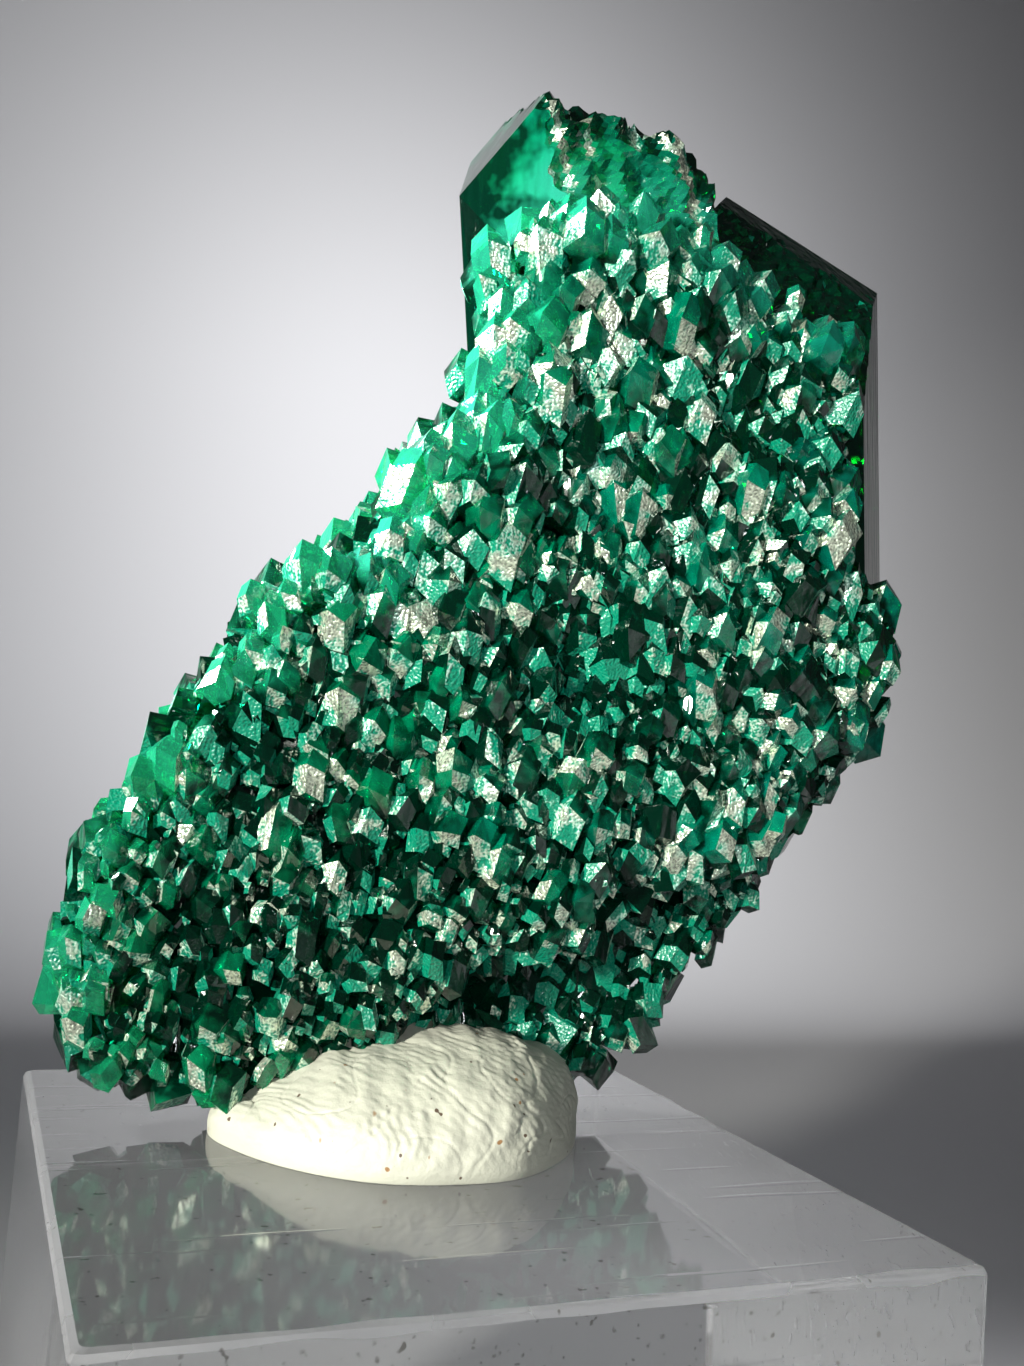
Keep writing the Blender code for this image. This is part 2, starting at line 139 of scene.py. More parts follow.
def rampOf(nodes, links, value, stops):
    # stops are (position, colour or grey)
    made = nodes.new("ShaderNodeValToRGB")
    ramp = made.color_ramp
    while len(ramp.elements) < len(stops):
        ramp.elements.new(0.5)
    for element, (position, colour) in zip(ramp.elements, stops):
        element.position = position
        rgb = (colour, colour, colour) if isinstance(colour, (int, float)) else colour
        element.color = (*rgb, 1.0)
    links.new(value, made.inputs["Fac"])
    return made.outputs["Color"]


def mixOf(nodes, links, share, first, second, blend="MIX"):
    made = nodes.new("ShaderNodeMix")
    made.data_type = "RGBA"
    made.blend_type = blend
    made.clamp_factor = True
    for socket, value in ((made.inputs[0], share), (made.inputs[6], first), (made.inputs[7], second)):
        if isinstance(value, bpy.types.NodeSocket):
            links.new(value, socket)
        elif isinstance(value, (tuple, list)):
            socket.default_value = (*value, 1.0)
        else:
            socket.default_value = value
    return made.outputs[2]


def mathOf(nodes, links, operation, first, second):
    made = nodes.new("ShaderNodeMath")
    made.operation = operation
    for socket, value in ((made.inputs[0], first), (made.inputs[1], second)):
        if isinstance(value, bpy.types.NodeSocket):
            links.new(value, socket)
        else:
            socket.default_value = value
    return made.outputs[0]


def aboutHalf(nodes, links, value, times):
    # a value's distance above a half, scaled
    return mathOf(nodes, links, "MULTIPLY", mathOf(nodes, links, "SUBTRACT", value, 0.5), times)


def bumpOf(nodes, links, height, distance, strength=1.0):
    made = nodes.new("ShaderNodeBump")
    made.inputs["Distance"].default_value = distance
    made.inputs["Strength"].default_value = strength
    links.new(height, made.inputs["Height"])
    return made.outputs["Normal"]


# Camera, at the photograph's place: lens axes worked out from yaw, pitch and roll

cameraSet = {
    "place": (-19.90, -53.07, 35.48),   # mm
    "yaw": -22.41, "pitch": 3.91, "roll": 4.44,   # degrees
    "lens": 34.17,
}


def makeCamera(values):
    yaw, pitch, roll = (math.radians(values[key]) for key in ("yaw", "pitch", "roll"))
    forward = Vector((-math.sin(yaw) * math.cos(pitch), math.cos(yaw) * math.cos(pitch), math.sin(pitch)))
    level = Vector((math.cos(yaw), math.sin(yaw), 0.0))
    upright = level.cross(forward)
    right = level * math.cos(roll) + upright * math.sin(roll)
    up = upright * math.cos(roll) - level * math.sin(roll)
    data = bpy.data.cameras.new("camera")
    data.lens = values["lens"]
    data.sensor_width = 36.0
    data.clip_start = 0.001
    data.clip_end = 10.0
    camera = bpy.data.objects.new("camera", data)
    bpy.context.scene.collection.objects.link(camera)
    turn = Matrix((right, up, -forward)).transposed().to_4x4()
    camera.matrix_world = Matrix.Translation(Vector(values["place"]) * mm) @ turn
    bpy.context.scene.camera = camera


makeCamera(cameraSet)
print("camera placed")


# The specimen. Its plate frame has x along the plate, y away from the viewer and z up
# from the block's top, in mm. The outlines are the CAD model's.

plate = {
    "offset": 2.1, "turn": -7.0,
    "crustOutline": [
        (0.3, 36.2), (-1.0, 34.8), (-0.2, 33.2), (-3.4, 30.8), (-3.8, 28.6), (-5.4, 26.2),
        (-7.9, 25.4), (-9.9, 23.2), (-10.6, 20.8), (-12.6, 18.2), (-12.9, 16.2), (-15.0, 13.8),
        (-16.5, 8.6), (-15.8, 4.0), (-14.4, 2.0), (-9.0, 1.0), (-3.0, 1.6), (0.4, 5.4),
        (4.2, 7.6), (7.9, 9.2), (10.8, 11.0), (13.8, 12.2), (18.2, 14.8), (20.3, 18.8),
        (23.6, 23.0), (22.2, 26.0), (20.2, 28.4), (19.8, 39.0), (18.4, 40.5), (10.7, 43.7),
        (6.2, 44.2), (3.0, 43.8), (0.4, 41.6), (-0.4, 39.5),
    ],
    "bodyOutline": [
        (0.5, 36.0), (-2.8, 30.4), (-7.0, 25.0), (-11.4, 18.4), (-14.2, 13.0), (-15.4, 8.0),
        (-14.6, 4.0), (-9.0, 1.5), (0.0, 1.3), (7.6, 1.2), (10.4, 2.0), (11.9, 4.0),
        (14.4, 7.0), (16.6, 9.6), (19.2, 12.6), (21.4, 16.0), (23.0, 19.6), (24.6, 23.4),
        (24.2, 30.0), (22.0, 38.0), (12.0, 41.0), (3.0, 41.0),
    ],
    # centre, half widths and depth in mm, then how much painted shade each hollow gets
    "hollows": (
        (6.7, 20.9, 3.0, 2.6, 1.5, 1.6), (7.0, 6.4, 4.2, 1.7, 0.5, 1.7), (11.5, 8.2, 3.0, 1.6, 0.4, 0.5),
        (-2.0, 12.5, 1.8, 1.6, 0.8, 0.9), (-9.0, 17.0, 1.6, 2.0, 0.8, 0.9), (14.0, 34.0, 1.8, 1.6, 0.8, 0.9),
    ),
    "pitShadeFrom": (-1.5, 0.5), "pitShadeTo": (1.6, 3.2), "litFrom": (8.0, 22.0), "rimWidth": 4.5,
    "coreFront": 1.7, "crustBack": 5.5, "bodyFront": 4.4, "bodyBack": 7.6,
    "footBack": 5.0, "footHeight": 9.0, "inset": 1.9,
    "rollWidth": 3.0, "rollDepth": 1.5, "recess": 2.4, "exposedAbove": 27.0,
}


def outlineNormals(outline):
    # each edge's direction turned a quarter turn, to the outside
    points = np.array(outline)
    following = np.roll(points, -1, axis=0)
    along = following - points
    area = np.sum(points[:, 0] * following[:, 1] - following[:, 0] * points[:, 1])
    normals = np.stack([along[:, 1], -along[:, 0]], axis=1) * math.copysign(1.0, area)
    return normals / np.linalg.norm(normals, axis=1, keepdims=True)


def insetOutline(outline, distance):
    normals = outlineNormals(outline)
    corners = normals + np.roll(normals, 1, axis=0)
    corners /= np.linalg.norm(corners, axis=1, keepdims=True)
    return np.array(outline) - corners * distance


def depthInside(points, outline):
    # least distance to the outline's edges, positive where a ray to the right crosses it an odd
    # number of times
    points = np.atleast_2d(points)
    start = np.array(outline)
    along = np.roll(start, -1, axis=0) - start
    offset = points[:, None, :] - start[None, :, :]
    share = np.sum(offset * along, axis=2) / np.sum(along * along, axis=1)
    nearest = offset - np.clip(share, 0.0, 1.0)[..., None] * along
    distance = np.linalg.norm(nearest, axis=2).min(axis=1)
    above = start[:, 1] > points[:, None, 1]
    crossing = above != np.roll(above, -1, axis=1)
    run = along[:, 0] / np.where(along[:, 1] == 0.0, 1e-9, along[:, 1])
    reach = start[:, 0] + (points[:, None, 1] - start[:, 1]) * run
    inside = np.sum(crossing & (points[:, None, 0] < reach), axis=1) % 2 == 1
    return np.where(inside, distance, -distance)


def hollows(points):
    # the sums of the bell-shaped hollows: how deep each point is, and how much painted shade it gets
    x, z = points[:, 0], points[:, 1]
    depth, shade = np.zeros(len(points)), np.zeros(len(points))
    for cx, cz, wide, tall, deep, paintedShade in plate["hollows"]:
        bell = np.exp(-(((x - cx) / wide) ** 2 + ((z - cz) / tall) ** 2))
        depth += deep * bell
        shade += paintedShade * bell
    return depth, shade


def frontDepth(points):
    # gentle waves, the hollows, a roll-off at the crust's edge and a step back outside it
    points = np.atleast_2d(points)
    x, z = points[:, 0], points[:, 1]
    inside = depthInside(points, plate["crustOutline"])
    waves = 0.45 * np.sin(0.62 * x + 0.35 * z) * np.cos(0.48 * z - 0.3 * x)
    waves += 0.35 * np.sin(0.31 * x - 0.27 * z + 1.2)
    roll = plate["rollDepth"] * (1.0 - np.clip(inside / plate["rollWidth"], 0.0, 1.0)) ** 2
    return waves + hollows(points)[0] + roll + plate["recess"] * smoothStep(-inside, 0.0, 1.6)


def frontNormal(points):
    # from the slopes of frontDepth in x and z
    step = 0.2
    dx = (frontDepth(points + [step, 0.0]) - frontDepth(points - [step, 0.0])) / (2 * step)
    dz = (frontDepth(points + [0.0, step]) - frontDepth(points - [0.0, step])) / (2 * step)
    normals = np.stack([dx, -np.ones(len(points)), dz], axis=1)
    return normals / np.linalg.norm(normals, axis=1, keepdims=True)


def backDepth(z):
    grown = smoothStep(z, 0.4 * plate["footHeight"], plate["footHeight"])
    return plate["footBack"] + (plate["bodyBack"] - plate["footBack"]) * grown


def latticePoints(outline, pitch, rng, shake=0.24):
    # rows of a triangular lattice, each point moved at random, kept inside the outline
    low = np.min(outline, axis=0) - pitch
    high = np.max(outline, axis=0) + pitch
    rows = np.arange(low[1], high[1], pitch * math.sqrt(0.75))
    x, z = np.meshgrid(np.arange(low[0], high[0], pitch), rows)
    x = x + 0.5 * pitch * (np.arange(len(rows))[:, None] % 2)
    points = np.stack([x.ravel(), z.ravel()], axis=1)
    points += rng.uniform(-shake, shake, points.shape) * pitch
    return points[depthInside(points, outline) > 0.0]


def alongOutline(outline, pitch, start):
    # evenly spaced points, with the outward normal of the edge that each is on
    points = np.array(outline)
    ends = np.roll(points, -1, axis=0)
    lengths = np.linalg.norm(ends - points, axis=1)
    reached = np.concatenate([[0.0], np.cumsum(lengths)])
    stations = np.arange(start * pitch, reached[-1], pitch)
    edge = np.searchsorted(reached, stations, side="right") - 1
    share = ((stations - reached[edge]) / lengths[edge])[:, None]
    return points[edge] * (1.0 - share) + ends[edge] * share, outlineNormals(outline)[edge]


# Crystals. One is 14 points: a tip, six corners where the prism meets the tip faces, and the
# same seven turned through its middle. Tip faces stand over corners 1, 3 and 5.

crystalFaces = (
    [(0, k, k + 1, 1 + (k + 1) % 6) for k in (1, 3, 5)]
    + [(1 + k, 8 + k, 8 + (k + 1) % 6, 1 + (k + 1) % 6) for k in range(6)]
    + [(7, 8 + (k + 1) % 6, 8 + k, 8 + (k - 1) % 6) for k in (0, 2, 4)]
)
crystalIsPrism = np.array([False] * 3 + [True] * 6 + [False] * 3)


def crystalPoints(slope, length):
    # rows: crystals; a corner at azimuth a lies tan(slope) below the tip where a tip face's
    # middle line meets it, and half of that between two tip faces. Tip at the origin, radius 1
    slope = np.atleast_1d(slope)
    length = np.atleast_1d(length)
    azimuth = np.radians(60.0 * np.arange(6))
    drop = np.where(np.arange(6) % 2 == 1, 1.0, 0.5)
    top = -np.tan(slope)[:, None] * drop
    bottom = -length[:, None] + np.tan(slope)[:, None] * np.roll(drop, 3)
    points = np.zeros((len(slope), 14, 3))
    points[:, 1:7, 0] = points[:, 8:14, 0] = np.cos(azimuth)
    points[:, 1:7, 1] = points[:, 8:14, 1] = np.sin(azimuth)
    points[:, 1:7, 2] = top
    points[:, 7, 2] = -length
    points[:, 8:14, 2] = bottom
    return points


def crystalAxes(axes, spin):
    # rows of three directions: z along the axis, x kept near the plate's x, both then spun about z
    z = axes / np.linalg.norm(axes, axis=1, keepdims=True)
    x = np.array([1.0, 0.0, 0.0]) - z * z[:, :1]
    x /= np.linalg.norm(x, axis=1, keepdims=True)
    y = np.cross(z, x)
    c, s = np.cos(spin)[:, None], np.sin(spin)[:, None]
    return np.stack([c * x + s * y, c * y - s * x, z], axis=1)


def placeCrystals(tips, axes, spin, radius, slope, length):
    # each unit crystal scaled by its radius, turned to its axes and moved to its tip
    local = crystalPoints(slope, length) * np.asarray(radius)[:, None, None]
    return np.einsum("nij,njk->nik", local, crystalAxes(axes, spin)) + tips[:, None, :]


growth = {
    "seed": 7, "axisSpread": 0.13, "spin": (5.0, 9.0), "slope": 51.0,
    "upright": (0.06, 0.0, 1.0), "lowest": 0.9, "uneven": 0.085, "reach": (0.1, 1.8),
    # the shares of side faces and tip faces that are etched
    "etchedPrism": 0.56, "etchedTip": 0.08,
    # spacing in mm, radius in mm, length in radii, how far the axes lean out, tips' height in radii
    "crust": {
        "pitch": 1.24, "radius": (0.58, 1.08), "length": 3.2, "lean": 0.32, "lift": 0.95,
        "tint": (0.0, 1.0),
    },
    "fine": {
        "pitch": 1.1, "radius": (0.28, 0.6), "length": 3.2, "lean": 0.36, "lift": 1.4,
        "tint": (0.0, 1.0),
    },
    "rim": {
        "pitch": 1.7, "radius": (0.8, 1.3), "length": 2.2, "lean": 0.5, "lift": 0.45,
        "tint": (-0.3, 0.8),
    },
    "back": {
        "pitch": 2.6, "radius": (1.3, 2.1), "length": 2.2, "lean": 0.6, "lift": 0.6,
        "tint": (-0.4, 0.6),
    },
    # how much smaller the crust's crystals are at the foot, and the heights that it fades over
    "footScale": 0.74, "footFades": (6.0, 28.0),
}


def grow(sites, normals, values, rng, radius=None):
    # axes between upright and the surface normal, tips lifted off the surface by a share of the radius
    count = len(sites)
    radius = rng.uniform(*values["radius"], count) if radius is None else radius
    upright = np.array(growth["upright"])
    axes = upright * (1.0 - values["lean"]) + normals * values["lean"]
    axes = axes + rng.normal(0.0, growth["axisSpread"], (count, 3))
    axes /= np.linalg.norm(axes, axis=1, keepdims=True)
    across = np.cross(axes, np.cross(normals, axes))
    lift = values["lift"] * rng.uniform(*growth["reach"], count) * radius
    tips = sites + axes * lift[:, None] + across * (0.25 * radius)[:, None]
    tips += axes * (0.5 * radius)[:, None]
    length = values["length"] * rng.uniform(0.85, 1.25, count)
    lowest = tips[:, 2] - radius * (length * axes[:, 2] + 0.8 * np.sqrt(1.0 - axes[:, 2] ** 2))
    tips[:, 2] += np.clip(growth["lowest"] - lowest, 0.0, None)
    spin = np.radians(rng.normal(*growth["spin"], count))
    slope = np.radians(growth["slope"] + rng.normal(0.0, 1.5, count))
    points = placeCrystals(tips, axes, spin, radius, slope, length)
    return points + rng.normal(0.0, growth["uneven"], points.shape) * radius[:, None, None]


def surfaceSites(points):
    return np.stack([points[:, 0], frontDepth(points), points[:, 1]], axis=1)


def crustCrystals(values, rng, edge=0.7):
    covered = latticePoints(insetOutline(plate["crustOutline"], edge), values["pitch"], rng)
    below = latticePoints(insetOutline(plate["bodyOutline"], edge), values["pitch"], rng)
    outside = depthInside(below, plate["crustOutline"]) < -0.4
    below = below[outside & (below[:, 1] < plate["exposedAbove"])]
    points = np.concatenate([covered, below])
    # smaller crystals towards the foot
    grown = smoothStep(points[:, 1], *growth["footFades"])
    radius = rng.uniform(*values["radius"], len(points))
    radius = radius * (growth["footScale"] + (1.0 - growth["footScale"]) * grown)
    return grow(surfaceSites(points), frontNormal(points), values, rng, radius)


def rimCrystals(values, rng):
    found = []
    rows = (("crustOutline", 1.9, 0.0, -0.35), ("crustOutline", 3.4, 0.5, 0.0),
            ("bodyOutline", 5.2, 0.3, 0.1), ("bodyOutline", 6.8, 0.8, 0.4))
    for name, depth, start, tilt in rows:
        points, outward = alongOutline(insetOutline(plate[name], 0.8), values["pitch"], start)
        hidden = (points[:, 1] > 33.0) & (points[:, 0] > -1.0) & (depth > 2.0)
        hidden |= (points[:, 1] > plate["exposedAbove"]) & (points[:, 0] > 15.0)
        hidden |= depth > backDepth(points[:, 1]) + 0.6
        points, outward = points[~hidden], outward[~hidden]
        sites = np.stack([points[:, 0], np.full(len(points), depth), points[:, 1]], axis=1)
        normals = np.stack([outward[:, 0], np.full(len(points), tilt), outward[:, 1]], axis=1)
        normals /= np.linalg.norm(normals, axis=1, keepdims=True)
        found.append(grow(sites, normals, values, rng))
    return np.concatenate(found)


def backCrystals(values, rng):
    points = latticePoints(insetOutline(plate["bodyOutline"], 1.0), values["pitch"], rng)
    x, z = points[:, 0], points[:, 1]
    bare = (z > 26.0) & (x > 0.5)
    bare |= (z > 20.0) & (x > 9.0) & (x < 23.0)
    points = points[~bare]
    sites = np.stack([points[:, 0], backDepth(points[:, 1]), points[:, 1]], axis=1)
    normals = np.tile([0.0, 1.0, 0.0], (len(points), 1))
    return grow(sites, normals, values, rng)


def slabSolid(name, outline, front, back, collection):
    # the outline at two depths, joined by a strip of side faces
    count = len(outline)
    flat = np.array(outline)
    points = np.concatenate([np.insert(flat, 1, front, axis=1), np.insert(flat, 1, back, axis=1)])
    sides = [(k, (k + 1) % count, count + (k + 1) % count, count + k) for k in range(count)]
    lids = [tuple(range(count))[::-1], tuple(range(count, 2 * count))]
    return addMesh(name, points * mm, lids + sides, collection)


def crystalObjects(name, points, materials, kinds, tint, collection):
    # one small closed mesh per crystal, so that they can be joined
    for number, corners in enumerate(points):
        mesh = bpy.data.meshes.new(name)
        mesh.from_pydata((corners * mm).tolist(), [], crystalFaces)
        for material in materials:
            mesh.materials.append(material)
        mesh.polygons.foreach_set("material_index", kinds[number])
        mesh.attributes.new("tint", "FLOAT", "FACE").data.foreach_set("value", np.full(12, tint[number]))
        collection.objects.link(bpy.data.objects.new(name, mesh))


# Materials of the specimen

def acrossPlate(nodes, links, low, high):
    # 0 at low and 1 at high, in metres along x
    place = nodes.new("ShaderNodeTexCoord")
    split = nodes.new("ShaderNodeSeparateXYZ")
    share = nodes.new("ShaderNodeMapRange")
    share.inputs["From Min"].default_value = low
    share.inputs["From Max"].default_value = high
    links.new(place.outputs["Object"], split.inputs[0])
    links.new(split.outputs["X"], share.inputs["Value"])
    return share.outputs["Result"]


def faceValue(nodes, name):
    made = nodes.new("ShaderNodeAttribute")
    made.attribute_name = name
    return made.outputs["Fac"]


glassFinish = {
    "left": (0.0, 0.90, 0.34), "right": (0.0, 0.74, 0.50),
    # deep is the dark end for random tone and painted shade; the last colour is a painted glow for the thin
    # edge on the lit side
    "deep": (0.0, 0.06, 0.03), "rim": (0.10, 1.0, 0.72),
    "roughness": 0.05, "ior": 1.65, "transmission": 0.86, "absorbed": (0.04, 0.90, 0.74), "density": 1000.0,
}


def makeGlass(values):
    made, nodes, links, shader = newMaterial("dioptase_glass")
    side = acrossPlate(nodes, links, -0.012, 0.022)
    where = objectSpace(nodes, links)
    patches = noiseOf(nodes, links, where, 260.0, 1.0)
    veils = noiseOf(nodes, links, where, 1500.0, 1.0)
    tint = faceValue(nodes, "tint")
    pit_shade = faceValue(nodes, "pit_shade")
    share = mathOf(nodes, links, "ADD", side, mathOf(nodes, links, "SUBTRACT", patches, 0.5))
    colour = mixOf(nodes, links, share, values["left"], values["right"])
    # painted glow: near the thin lit edge the colour moves to a bright green
    rim = faceValue(nodes, "rim")
    colour = mixOf(nodes, links, mathOf(nodes, links, "MULTIPLY", rim, patches), colour, values["rim"])
    bright = mathOf(nodes, links, "ADD", tint, mathOf(nodes, links, "SUBTRACT", veils, 0.5))
    # painted shade: the glass goes towards its deep colour between crystals and in the hollows
    bright = mathOf(nodes, links, "SUBTRACT", bright, mathOf(nodes, links, "MULTIPLY", pit_shade, 0.9))
    # painted glow: the glass is made brighter near the thin lit edge
    bright = mathOf(nodes, links, "ADD", bright, mathOf(nodes, links, "MULTIPLY", rim, 1.0))
    bright = rampOf(nodes, links, bright, [(0.25, 0.0), (0.95, 1.0)])
    links.new(mixOf(nodes, links, bright, values["deep"], colour), shader.inputs["Base Color"])
    shader.inputs["Roughness"].default_value = values["roughness"]
    shader.inputs["IOR"].default_value = values["ior"]
    shader.inputs["Transmission Weight"].default_value = values["transmission"]
    upright = objectSpace(nodes, links, (1.0, 1.0, 0.12))
    streaks = noiseOf(nodes, links, upright, 1800.0, 1.0)
    links.new(bumpOf(nodes, links, streaks, 0.00008, 0.9), shader.inputs["Normal"])
    volume = nodes.new("ShaderNodeVolumeAbsorption")
    volume.inputs["Color"].default_value = (*values["absorbed"], 1.0)
    volume.inputs["Density"].default_value = values["density"]
    links.new(volume.outputs[0], nodes["Material Output"].inputs["Volume"])
    return made


etchedFinish = {
    "warm": (0.84, 0.94, 0.74), "cool": (0.52, 0.94, 0.78), "ground": (0.0, 0.16, 0.09),
    "grain": 8000.0, "patch": 900.0, "metallic": 0.8, "bump": 0.00012,
}


def makeEtched(values):
    # grey metal grains and streaks over green: patches let the green through, and painted shade in the
    # hollows between crystals takes the grey away there
    made, nodes, links, shader = newMaterial("dioptase_etched")
    where = objectSpace(nodes, links)
    grain = noiseOf(nodes, links, where, values["grain"], 0.0)
    along = objectSpace(nodes, links, (1.0, 1.0, 0.2), (0.0, 0.12, 0.0))
    streak = noiseOf(nodes, links, along, values["grain"] * 0.5, 1.0, 0.6)
    patch = noiseOf(nodes, links, where, values["patch"], 1.0, 0.6)
    tint = faceValue(nodes, "tint")
    rough = mathOf(nodes, links, "MULTIPLY", mathOf(nodes, links, "ADD", grain, streak), 0.5)
    level = mathOf(nodes, links, "ADD", patch, aboutHalf(nodes, links, tint, 0.3))
    level = mathOf(nodes, links, "ADD", level, aboutHalf(nodes, links, rough, 0.8))
    # painted shade between crystals: less grey metal there
    paintedPitShade = mathOf(nodes, links, "MULTIPLY", faceValue(nodes, "pit_shade"), 0.3)
    level = mathOf(nodes, links, "SUBTRACT", level, paintedPitShade)
    silver = rampOf(nodes, links, level, [(0.36, 0.0), (0.55, 1.0)])
    hue = aboutHalf(nodes, links, patch, 3.0)
    metal = mixOf(nodes, links, mathOf(nodes, links, "ADD", hue, tint), values["cool"], values["warm"])
    shade = rampOf(nodes, links, rough, [(0.36, 0.42), (0.62, 1.0)])
    metal = mixOf(nodes, links, 1.0, metal, shade, "MULTIPLY")
    links.new(mixOf(nodes, links, silver, values["ground"], metal), shader.inputs["Base Color"])
    links.new(mathOf(nodes, links, "MULTIPLY", silver, values["metallic"]), shader.inputs["Metallic"])
    links.new(rampOf(nodes, links, grain, [(0.3, 0.22), (0.7, 0.45)]), shader.inputs["Roughness"])
    shader.inputs["IOR"].default_value = 1.65
    links.new(bumpOf(nodes, links, rough, values["bump"]), shader.inputs["Normal"])
    return made


# Growing and breaking the specimen

bigCrystals = {
    "left": {
        "tip": (5.6, 7.1, 56.0), "radius": 7.5, "length": 34.0, "lean": 8.0, "spin": 10.0,
        "slope": 52.0, "tint": 0.5, "breaks": ("tip_front", "tip_right", "front", "back"),
    },
    "right": {
        "tip": (15.4, 8.6, 49.6), "radius": 9.0, "length": 34.0, "lean": 5.0, "spin": -6.0,
        # the low tint paints this crystal darker: painted shade, as it stands further back out of the light
        "slope": 48.0, "tint": -0.4, "breaks": ("right_front", "back"),
    },
}
# broken faces: a point on each and its outward normal, in mm, how rough it is and the size of its shells
breakFaces = {
    "tip_front": {
        "point": (6.0, 1.5, 48.7), "normal": (0.10, -0.34, 1.0),
        "rough": 0.45, "size": 4.0, "flake": 1.3, "seed": 31,
    },
    "tip_right": {
        "point": (9.6, 3.0, 49.4), "normal": (0.70, -0.22, 0.68),
        "rough": 0.5, "size": 3.5, "flake": 1.2, "seed": 32,
    },
    "front": {
        "point": (5.6, 1.9, 45.0), "normal": (0.10, -1.0, 0.10),
        "rough": 0.45, "size": 4.5, "flake": 2.2, "seed": 34,
    },
    "right_front": {
        "point": (15.4, 7.6, 49.0), "normal": (0.12, -0.86, 0.5),
        # the low tint below is painted shade, as on the rest of this crystal
        "rough": 0.16, "size": 1.8, "flake": 1.4, "seed": 35, "tint": -0.3, "silver": 1.4,
    },
    "back": {
        "point": (10.0, 14.6, 30.0), "normal": (0.05, 1.0, -0.08),
        "rough": 0.5, "size": 6.0, "flake": 2.0, "seed": 33,
    },
}


def roughFace(x, y, values):
    # smooth shells with sharp crests between them: one less the size of a wave, at three scales
    height = 1.0 - 2.0 * np.abs(wobble(x, y, values["size"], values["seed"], 5))
    height += 0.5 * (1.0 - 2.0 * np.abs(wobble(x, y, 0.42 * values["size"], values["seed"] + 50, 5)))
    height += 0.2 * (1.0 - 2.0 * np.abs(wobble(x, y, 0.16 * values["size"], values["seed"] + 90, 5)))
    return values["rough"] * height


def breakSolid(name, values, collection, half=22.0, steps=150, deep=30.0):
    # a square grid on the broken face, closed by a flat lid far outside the crystal
    outward = np.array(values["normal"]) / np.linalg.norm(values["normal"])
    first = np.cross(outward, [0.31, 0.52, 0.79])
    first /= np.linalg.norm(first)
    second = np.cross(outward, first)
    u, v = np.meshgrid(np.linspace(-half, half, steps), np.linspace(-half, half, steps), indexing="ij")
    w = roughFace(u, v, values)
    grid = u[..., None] * first + v[..., None] * second + w[..., None] * outward + np.array(values["point"])
    lid = u[..., None] * first + v[..., None] * second + deep * outward + np.array(values["point"])
    points = np.concatenate([grid.reshape(-1, 3), lid.reshape(-1, 3)]) * mm
    i, j = np.meshgrid(np.arange(steps - 1), np.arange(steps - 1), indexing="ij")
    corner = i * steps + j
    bottom = np.stack([corner, corner + 1, corner + steps + 1, corner + steps], axis=2).reshape(-1, 4)
    top = bottom[:, ::-1] + steps * steps
    ring = np.concatenate([
        np.arange(steps - 1), (np.arange(steps - 1) * steps + steps - 1),
        (steps * steps - 1 - np.arange(steps - 1)), ((steps - 1 - np.arange(steps - 1)) * steps),
    ])
    after = np.roll(ring, -1)
    wall = np.stack([after, ring, ring + steps * steps, after + steps * steps], axis=1)
    return addMesh(name, points, np.concatenate([bottom, top, wall]), collection)


def keepLargest(mesh):
    # crystals that touch nothing are dropped, so that the specimen is one body
    work = bmesh.new()
    work.from_mesh(mesh)
    left = set(work.verts)
    bodies = []
    while left:
        front = [left.pop()]
        found = set(front)
        while front:
            for edge in front.pop().link_edges:
                for corner in edge.verts:
                    if corner not in found:
                        found.add(corner)
                        front.append(corner)
        left -= found
        bodies.append(found)
    bodies.sort(key=len)
    loose = [corner for found in bodies[:-1] for corner in found]
    bmesh.ops.delete(work, geom=loose, context="VERTS")
    work.to_mesh(mesh)
    work.free()
    print("loose bodies dropped", len(bodies) - 1)


def growCrystals(materials, collection):
    # the small crystals, group after group from one row of random draws
    rng = np.random.default_rng(growth["seed"])
    groups = {
        "crust": crustCrystals(growth["crust"], rng),
        "fine": crustCrystals(growth["fine"], rng),
        "rim": rimCrystals(growth["rim"], rng),
        "back": backCrystals(growth["back"], rng),
    }
    etched = np.where(crystalIsPrism, growth["etchedPrism"], growth["etchedTip"])
    for name, points in groups.items():
        chance = rng.uniform(0.0, 1.0, (len(points), len(crystalFaces)))
        kinds = (chance < etched).astype(np.int32)
        tint = rng.uniform(*growth[name]["tint"], len(points))
        crystalObjects(name, points, materials, kinds, tint, collection)
        print(name, len(points))


def addCores(materials, collection):
    # three slabs that the crystals stand on; everything else joins the first
    crust = insetOutline(plate["crustOutline"], plate["inset"])
    whole = insetOutline(plate["bodyOutline"], plate["inset"])
    upper = [(x, max(z, plate["footHeight"])) for x, z in whole]
    shown = bpy.context.scene.collection
    cores = [
        slabSolid("crust_core", crust, plate["coreFront"], plate["crustBack"], shown),
        slabSolid("body_core", whole, plate["bodyFront"], plate["footBack"], collection),
        slabSolid("upper_core", upper, plate["bodyFront"], plate["bodyBack"], collection),
    ]
    for core in cores:
        for material in materials:
            core.data.materials.append(material)
    return cores[0]


def addBreaks(materials, collection):
    # the cutters carry the flakes of the broken faces: silvery where a wave is high
    for name, values in breakFaces.items():
        cutter = breakSolid("break_" + name, values, collection)
        for material in materials:
            cutter.data.materials.append(material)
        middles = np.array([face.center for face in cutter.data.polygons]) / mm
        across = middles[:, 0] + 0.4 * middles[:, 2]
        upward = middles[:, 1] - 0.5 * middles[:, 0]
        flake = wobble(across, upward, values["flake"], values["seed"], 7)
        silvery = (flake > values.get("silver", 0.62)).astype(np.int32)
        cutter.data.polygons.foreach_set("material_index", silvery)
        tint = values.get("tint", 0.55) + 0.4 * flake
        cutter.data.attributes.new("tint", "FLOAT", "FACE").data.foreach_set("value", tint)


